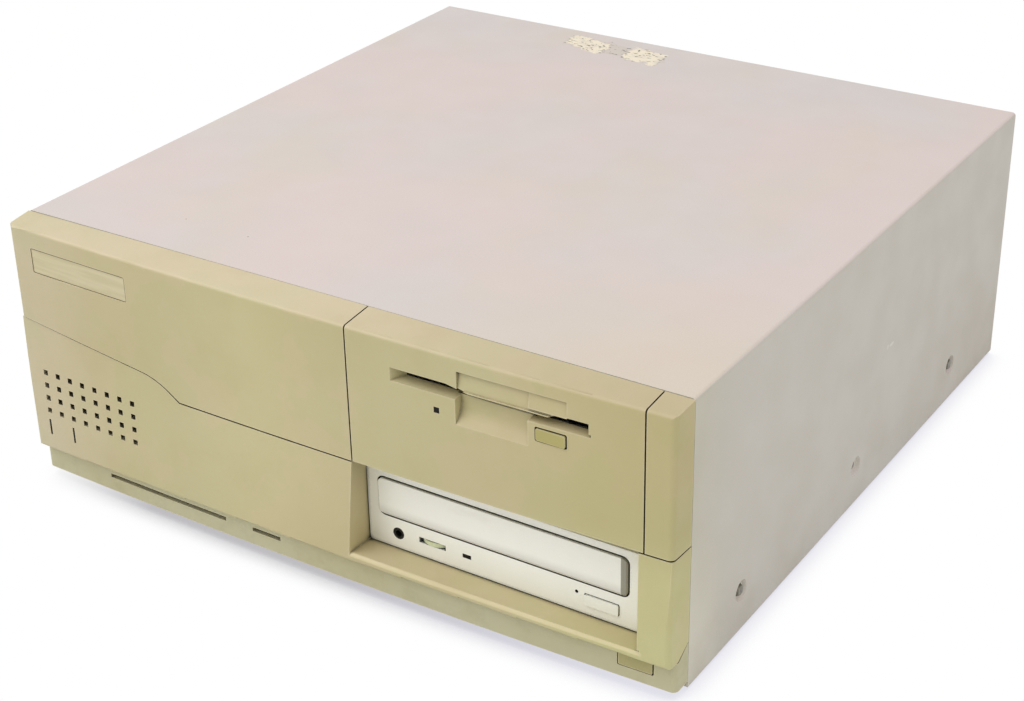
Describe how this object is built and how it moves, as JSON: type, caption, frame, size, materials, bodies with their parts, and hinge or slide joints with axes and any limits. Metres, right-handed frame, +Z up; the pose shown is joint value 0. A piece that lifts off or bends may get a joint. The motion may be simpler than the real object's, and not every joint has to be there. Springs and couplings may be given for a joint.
{
  "type": "desktop computer",
  "caption": "Flat desktop computer case with floppy and disc drives behind a moulded front, a loading tray on a rack, and the power supply, boards and cables inside.",
  "frame": {"origin": "on the table, under the middle of the case's bounding box", "axes": "+X to the right seen from the front, +Y from the front to the back, +Z up"},
  "size_m": [0.38, 0.395, 0.15],
  "materials": {
    "cover_paint": "satin",
    "screw_steel": "satin",
    "bezel_plastic": "matte",
    "plinth_plastic": "matte",
    "dark_plastic": "matte",
    "clear_plastic": "satin",
    "pressed_steel": "satin",
    "speaker_paper": "matte",
    "foot_rubber": "matte",
    "drive_plastic": "matte",
    "tray_plastic": "matte",
    "gear_plastic": "satin",
    "turned_steel": "polished",
    "cast_aluminium": "satin",
    "circuit_board": "satin",
    "lead_insulation": "satin",
    "socket_plastic": "satin",
    "chip_package": "satin",
    "port_shell": "satin",
    "ribbon_insulation": "satin"
  },
  "bodies": {
    "housing": {"top_cover": "cover_paint", "screws": "screw_steel", "front_bezel": "bezel_plastic", "upper_left_panel": "bezel_plastic", "floppy_panel": "bezel_plastic", "right_corner_panel": "bezel_plastic", "base_plinth": "plinth_plastic", "power_switch": "dark_plastic", "lamp_windows": "clear_plastic", "speaker_basket": "pressed_steel", "speaker_cone": "speaker_paper", "front_frame": "pressed_steel", "chassis_tray": "pressed_steel", "rear_panel": "pressed_steel", "feet": "foot_rubber", "cd_shell": "pressed_steel", "cd_bezel": "drive_plastic", "cd_belt": "foot_rubber", "cd_deck": "tray_plastic", "cd_clamp": "pressed_steel", "cd_board_parts": "dark_plastic", "cd_headphone_jack": "dark_plastic", "floppy_shell": "pressed_steel", "drive_motors": "turned_steel", "guide_rods": "turned_steel", "small_boards": "circuit_board", "drive_brackets": "pressed_steel", "hard_disk": "cast_aluminium", "psu_case": "pressed_steel", "psu_fan_frame": "dark_plastic", "psu_sockets": "dark_plastic", "drive_power_lead": "lead_insulation", "main_board": "circuit_board", "board_sockets": "socket_plastic", "chips": "chip_package", "cpu_heatsink": "cast_aluminium", "memory_modules": "circuit_board", "clock_battery": "turned_steel", "riser_board": "circuit_board", "slot_covers": "pressed_steel", "ports": "port_shell", "ribbon_cables": "ribbon_insulation"},
    "power_button": {"power_button": "plinth_plastic"},
    "floppy_flap": {"floppy_flap": "dark_plastic"},
    "floppy_eject": {"floppy_eject_button": "bezel_plastic", "floppy_slider": "pressed_steel"},
    "floppy_spindle": {"floppy_spindle": "turned_steel"},
    "floppy_heads": {"floppy_head_carriage": "cast_aluminium"},
    "floppy_lead_screw": {"floppy_lead_screw": "turned_steel"},
    "cd_tray": {"cd_tray": "tray_plastic", "cd_tray_door": "drive_plastic"},
    "cd_drive_gear": {"cd_drive_gear": "gear_plastic"},
    "cd_motor_pulley": {"cd_motor_pulley": "gear_plastic"},
    "cd_eject_button": {"cd_eject_button": "drive_plastic"},
    "cd_volume_wheel": {"cd_volume_wheel": "drive_plastic"},
    "cd_spindle": {"cd_spindle": "turned_steel"},
    "cd_sled": {"cd_sled": "tray_plastic"},
    "cd_sled_screw": {"cd_sled_screw": "turned_steel"},
    "psu_fan_rotor": {"psu_fan_rotor": "dark_plastic"}
  },
  "joints": [
    {"name": "power_button_press", "type": "slide", "parent": "housing", "child": "power_button", "axis": [0, 1, 0], "range_m": [0, 0.002], "stiffness_N_per_m": 350},
    {"name": "floppy_flap_swing", "type": "hinge", "parent": "housing", "child": "floppy_flap", "pos_m": [0.1012, -0.18575, 0.1335], "axis": [1, 0, 0], "range_deg": [0, 80], "stiffness_Nm_per_rad": 0.002},
    {"name": "floppy_eject_slide", "type": "slide", "parent": "housing", "child": "floppy_eject", "axis": [0, -1, 0], "range_m": [0, 0.0045]},
    {"name": "floppy_spindle_turn", "type": "hinge", "parent": "housing", "child": "floppy_spindle", "pos_m": [0.1012, -0.134, 0.1164], "axis": [0, 0, 1], "continuous": true},
    {"name": "floppy_heads_slide", "type": "slide", "parent": "housing", "child": "floppy_heads", "axis": [0, -1, 0], "range_m": [0, 0.0148]},
    {"name": "floppy_lead_screw_turn", "type": "hinge", "parent": "housing", "child": "floppy_lead_screw", "pos_m": [0.088, -0.0845, 0.1225], "axis": [0, 1, 0], "range_deg": [0, 1777]},
    {"name": "cd_tray_slide", "type": "slide", "parent": "housing", "child": "cd_tray", "axis": [0, -1, 0], "range_m": [0, 0.13]},
    {"name": "cd_drive_gear_turn", "type": "hinge", "parent": "housing", "child": "cd_drive_gear", "pos_m": [0.04425, -0.158, 0.045], "axis": [0, 0, 1], "range_deg": [0, 746]},
    {"name": "cd_motor_pulley_turn", "type": "hinge", "parent": "housing", "child": "cd_motor_pulley", "pos_m": [0.084, -0.156, 0.045], "axis": [0, 0, 1], "range_deg": [0, 2917]},
    {"name": "cd_eject_press", "type": "slide", "parent": "housing", "child": "cd_eject_button", "axis": [0, 1, 0], "range_m": [0, 0.0012], "stiffness_N_per_m": 350},
    {"name": "cd_volume_turn", "type": "hinge", "parent": "housing", "child": "cd_volume_wheel", "pos_m": [0.0549, -0.1711, 0.0341], "axis": [0, 0, 1], "range_deg": [-135, 135]},
    {"name": "cd_spindle_turn", "type": "hinge", "parent": "housing", "child": "cd_spindle", "pos_m": [0.0924, -0.1125, 0.047], "axis": [0, 0, 1], "continuous": true},
    {"name": "cd_sled_slide", "type": "slide", "parent": "housing", "child": "cd_sled", "axis": [0, 1, 0], "range_m": [0, 0.033]},
    {"name": "cd_sled_screw_turn", "type": "hinge", "parent": "housing", "child": "cd_sled_screw", "pos_m": [0.0744, -0.06, 0.046], "axis": [0, -1, 0], "range_deg": [0, 2971]},
    {"name": "psu_fan_turn", "type": "hinge", "parent": "housing", "child": "psu_fan_rotor", "pos_m": [0.0759, 0.172, 0.05], "axis": [0, 1, 0], "continuous": true}
  ],
  "couplings": [
    {"joint": "floppy_lead_screw_turn", "follows": "floppy_heads_slide", "rad_per_m": 2094.4},
    {"joint": "cd_drive_gear_turn", "follows": "cd_tray_slide", "rad_per_m": 100},
    {"joint": "cd_motor_pulley_turn", "follows": "cd_tray_slide", "rad_per_m": 391.39},
    {"joint": "cd_sled_screw_turn", "follows": "cd_sled_slide", "rad_per_m": 1570.8}
  ]
}
